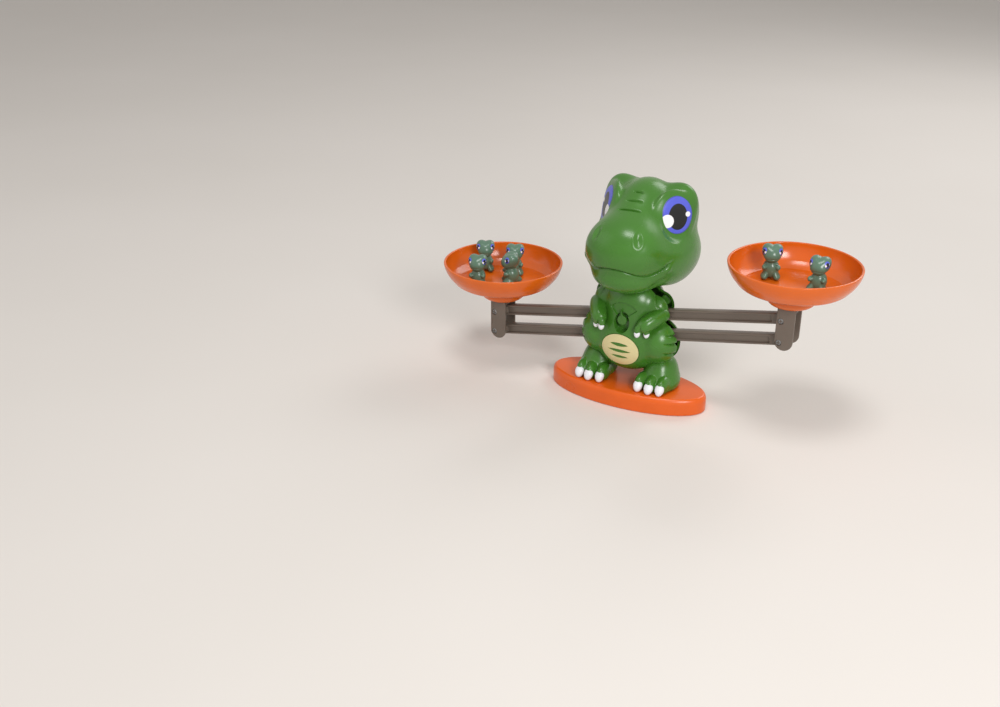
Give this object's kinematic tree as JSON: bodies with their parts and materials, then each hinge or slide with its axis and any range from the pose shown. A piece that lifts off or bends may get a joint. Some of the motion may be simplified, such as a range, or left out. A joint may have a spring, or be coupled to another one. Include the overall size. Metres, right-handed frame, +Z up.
{
  "type": "tabletop number balance",
  "caption": "Tabletop counting balance: a moulded toy dinosaur on a flat base holds two parallel beams whose end posts carry round pans that stay level, with counting figures.",
  "frame": {"origin": "underside of the base, below the plane of the beams and midway between the dinosaur's feet", "axes": "+X along the beams towards the raised pan, -Y the way the dinosaur faces, +Z up"},
  "size_m": [0.3835, 0.1148, 0.1968],
  "materials": {
    "green": "glossy moulded",
    "orange": "glossy moulded",
    "grey_brown": "satin moulded",
    "cream": "satin insert",
    "white": "glossy insert",
    "eye": "glossy printed insert",
    "figure": "glossy moulded",
    "steel": "zinc-plated"
  },
  "bodies": {
    "stand": {"base_board": "orange", "base_bottom_plate": "orange", "base_screw_1": "steel", "base_screw_2": "steel", "base_screw_3": "steel", "base_screw_4": "steel", "leg_screw_1": "steel", "leg_screw_2": "steel", "left_toe_claws": "white", "left_foot": "green", "right_toe_claws": "white", "right_foot": "green", "belly_patch": "cream", "left_finger_claws": "white", "left_arm": "green", "right_finger_claws": "white", "right_arm": "green", "body_front": "green", "body_back": "green", "body_screw_1": "steel", "body_screw_2": "steel", "body_screw_3": "steel", "body_screw_4": "steel", "left_eye": "eye", "right_eye": "eye", "head_front": "green", "head_back": "green", "head_screw_1": "steel", "head_screw_2": "steel", "head_screw_3": "steel", "lower_pivot_pin": "steel"},
    "beam": {"upper_beam": "grey_brown", "upper_pivot_shaft": "steel", "pointer": "green"},
    "low_beam": {"lower_beam": "grey_brown"},
    "left_upright": {"left_post": "grey_brown", "left_upper_screw": "steel", "left_lower_screw": "steel"},
    "right_upright": {"right_post": "grey_brown", "right_upper_screw": "steel", "right_lower_screw": "steel"},
    "left_bowl": {"left_pan": "orange"},
    "right_bowl": {"right_pan": "orange"},
    "counter_1": {"figure_1": "figure"},
    "counter_2": {"figure_2": "figure"},
    "counter_3": {"figure_3": "figure"},
    "counter_4": {"figure_4": "figure"},
    "counter_5": {"figure_5": "figure"},
    "counter_6": {"figure_6": "figure"}
  },
  "joints": [
    {"name": "beam_tilt", "type": "hinge", "parent": "stand", "child": "beam", "pos_m": [0, 0, 0.0794], "axis": [0, 1, 0], "range_deg": [0, 20.7]},
    {"name": "low_beam_tilt", "type": "hinge", "parent": "stand", "child": "low_beam", "pos_m": [0, 0, 0.0602], "axis": [0, 1, 0], "range_deg": [0, 20.7]},
    {"name": "left_post_level", "type": "hinge", "parent": "beam", "child": "left_upright", "pos_m": [-0.13656, 0, 0.05344], "axis": [0, 1, 0], "range_deg": [-20.7, 0]},
    {"name": "right_post_level", "type": "hinge", "parent": "beam", "child": "right_upright", "pos_m": [0.13692, 0, 0.10339], "axis": [0, 1, 0], "range_deg": [-20.7, 0]},
    {"name": "left_pan_lift", "type": "slide", "parent": "left_upright", "child": "left_bowl", "axis": [0, 0, 1], "range_m": [0, 0.03]},
    {"name": "right_pan_lift", "type": "slide", "parent": "right_upright", "child": "right_bowl", "axis": [0, 0, 1], "range_m": [0, 0.03]},
    {"name": "figure_1_lift", "type": "slide", "parent": "left_bowl", "child": "counter_1", "axis": [0, 0, 1], "range_m": [0, 0.06]},
    {"name": "figure_2_lift", "type": "slide", "parent": "left_bowl", "child": "counter_2", "axis": [0, 0, 1], "range_m": [0, 0.06]},
    {"name": "figure_3_lift", "type": "slide", "parent": "left_bowl", "child": "counter_3", "axis": [0, 0, 1], "range_m": [0, 0.06]},
    {"name": "figure_4_lift", "type": "slide", "parent": "left_bowl", "child": "counter_4", "axis": [0, 0, 1], "range_m": [0, 0.06]},
    {"name": "figure_5_lift", "type": "slide", "parent": "right_bowl", "child": "counter_5", "axis": [0, 0, 1], "range_m": [0, 0.06]},
    {"name": "figure_6_lift", "type": "slide", "parent": "right_bowl", "child": "counter_6", "axis": [0, 0, 1], "range_m": [0, 0.06]}
  ],
  "couplings": [
    {"joint": "low_beam_tilt", "follows": "beam_tilt", "ratio": 1},
    {"joint": "left_post_level", "follows": "beam_tilt", "ratio": -1},
    {"joint": "right_post_level", "follows": "beam_tilt", "ratio": -1}
  ]
}
